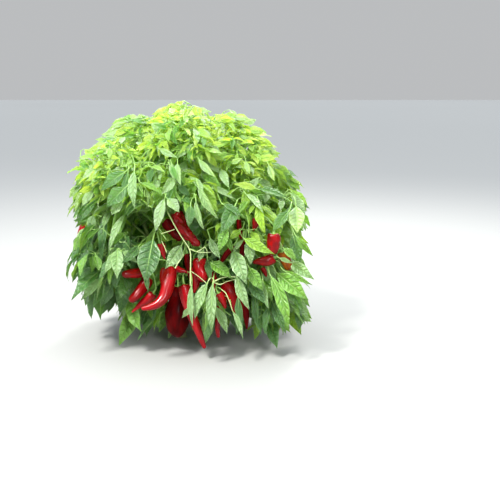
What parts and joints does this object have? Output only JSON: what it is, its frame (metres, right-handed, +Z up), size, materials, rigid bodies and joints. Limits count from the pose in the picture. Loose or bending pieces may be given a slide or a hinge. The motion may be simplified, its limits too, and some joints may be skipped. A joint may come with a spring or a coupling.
{
  "type": "chilli pepper plant",
  "caption": "Rooted bushy chilli pepper plant in fruit: short woody stem, forking boughs, a dense crown of drooping leaves and long hanging red horn peppers.",
  "frame": {"origin": "middle of the flat cut under the main stem, at ground level", "axes": "+Z up along the stem, -Y towards the side seen in the picture, +X to the right seen from there"},
  "size_m": [0.6985, 0.6197, 0.705],
  "materials": {
    "stem": "ridged green-brown woody stem, matte",
    "young_stem": "smooth pale green young stem and leaf stalk, satin",
    "low_leaves": "dark green shaded leaves with a pale sheen",
    "middle_leaves": "mid green satin leaves with pale veins",
    "top_leaves": "bright yellow-green young leaves, satin",
    "ripe_fruit": "glossy deep red pepper skin",
    "fruit_cap": "green calyx and fruit stalk, satin"
  },
  "bodies": {
    "root": {"main_stem": "stem", "bough_left": "stem", "bough_right": "stem", "bough_back": "stem", "bough_front": "stem", "side_bough_front_left": "young_stem", "side_bough_left": "young_stem", "side_bough_left_low": "young_stem", "side_bough_right": "young_stem", "side_bough_front_right": "young_stem", "side_bough_right_low": "young_stem", "side_bough_front_low": "young_stem", "side_bough_back_left": "young_stem", "side_bough_back_right": "young_stem", "side_bough_right_back_low": "young_stem", "side_bough_back_low": "young_stem", "side_bough_front": "young_stem", "side_bough_back_left_high": "young_stem", "side_bough_front_left_high": "young_stem", "leaves_low_front_left": "low_leaves", "leaves_low_front_middle": "low_leaves", "leaves_low_front_right": "low_leaves", "leaves_low_left": "low_leaves", "leaves_low_back_left": "low_leaves", "leaves_low_back": "low_leaves", "leaves_low_right": "low_leaves", "leaves_mid_left": "middle_leaves", "leaves_mid_front": "middle_leaves", "leaves_mid_front_right": "middle_leaves", "leaves_mid_right": "middle_leaves", "leaves_mid_back_right": "middle_leaves", "leaves_mid_back_left": "middle_leaves", "leaves_upper_front_left": "top_leaves", "leaves_upper_left": "top_leaves", "leaves_upper_front": "top_leaves", "leaves_upper_right": "top_leaves", "leaves_upper_back": "top_leaves", "leaves_top": "top_leaves"}
  },
  "joints": []
}
